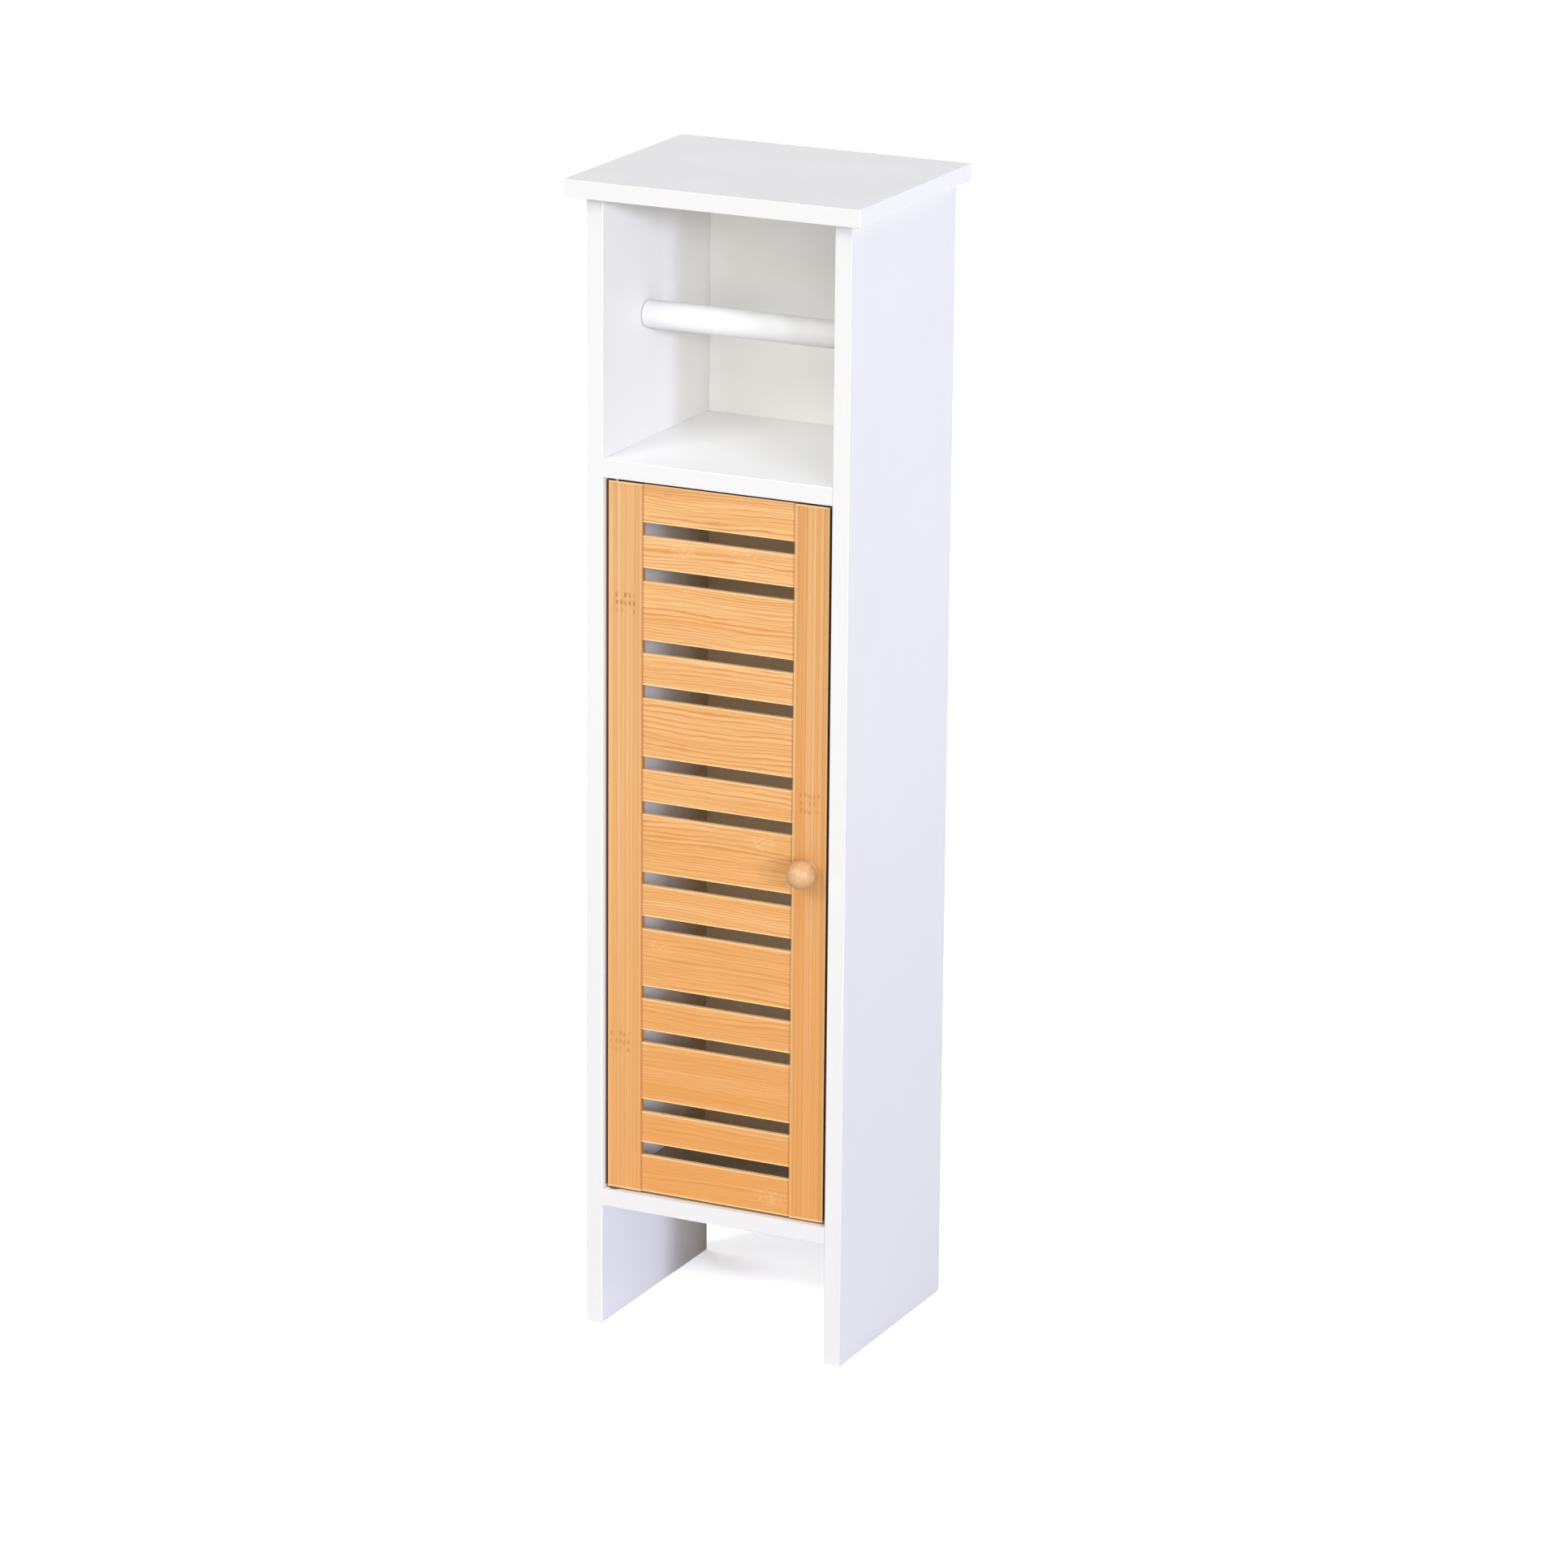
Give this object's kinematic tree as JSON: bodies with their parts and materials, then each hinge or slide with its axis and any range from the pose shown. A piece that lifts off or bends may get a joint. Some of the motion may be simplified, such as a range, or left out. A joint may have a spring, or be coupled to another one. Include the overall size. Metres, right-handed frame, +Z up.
{
  "type": "freestanding toilet roll holder cabinet",
  "caption": "Slim white floor cabinet with an overhanging top, an open bay with a roll bar, and a slatted bamboo door with a round knob over a store for spare rolls.",
  "frame": {"origin": "on the floor, under the middle of the whole object's box, knob included", "axes": "+Z up, -Y to the front where the door and the open bay face, +X to the viewer's right"},
  "size_m": [0.21, 0.1748, 0.78],
  "materials": {
    "white_board": "smooth white lacquered fibreboard, satin",
    "white_backing": "thin white faced hardboard, matt",
    "bamboo": "laminated bamboo strip, clear satin lacquer",
    "pale_wood": "turned pale wood, clear satin lacquer",
    "beech": "plain beech",
    "bright_steel": "zinc plated steel",
    "cast_zinc": "die cast zinc, dull",
    "magnet": "ferrite, dark and matt",
    "white_plastic": "moulded white plastic",
    "bar_plastic": "smooth white plastic, soft gloss"
  },
  "bodies": {
    "cabinet": {"top_panel": "white_board", "left_side_panel": "white_board", "right_side_panel": "white_board", "middle_shelf": "white_board", "bottom_shelf": "white_board", "back_panel": "white_backing", "back_panel_pins": "bright_steel", "top_dowels": "beech", "shelf_dowels": "beech", "cam_locks": "cast_zinc", "cam_bolts": "bright_steel", "upper_pin_bush": "white_plastic", "lower_pin_bush": "white_plastic", "catch_housing": "white_plastic", "catch_magnet": "magnet", "catch_pole_plates": "bright_steel", "catch_screws": "bright_steel"},
    "door": {"hinge_stile": "bamboo", "latch_stile": "bamboo", "top_rail": "bamboo", "bottom_rail": "bamboo", "slat_01": "bamboo", "slat_02": "bamboo", "slat_03": "bamboo", "slat_04": "bamboo", "slat_05": "bamboo", "slat_06": "bamboo", "slat_07": "bamboo", "slat_08": "bamboo", "slat_09": "bamboo", "slat_10": "bamboo", "slat_11": "bamboo", "upper_hinge_pin": "bright_steel", "lower_hinge_pin": "bright_steel", "knob": "pale_wood", "knob_screw": "bright_steel", "strike_plate": "bright_steel", "strike_screw": "bright_steel"},
    "roll_bar": {"roll_bar_sleeve": "bar_plastic", "roll_bar_spring": "bright_steel"},
    "roll_bar_end": {"roll_bar_plunger": "bar_plastic"}
  },
  "joints": [
    {"name": "door_hinge", "type": "hinge", "parent": "cabinet", "child": "door", "pos_m": [-0.075, -0.0636, 0.0972], "axis": [0, 0, -1], "range_deg": [0, 110]},
    {"name": "roll_bar_spin", "type": "hinge", "parent": "cabinet", "child": "roll_bar", "pos_m": [0, -0.0076, 0.68], "axis": [1, 0, 0], "continuous": true},
    {"name": "roll_bar_squeeze", "type": "slide", "parent": "roll_bar", "child": "roll_bar_end", "axis": [-1, 0, 0], "range_m": [0, 0.008], "stiffness_N_per_m": 300, "springref_m": -0.006, "deforming": ["roll_bar_spring"]}
  ]
}
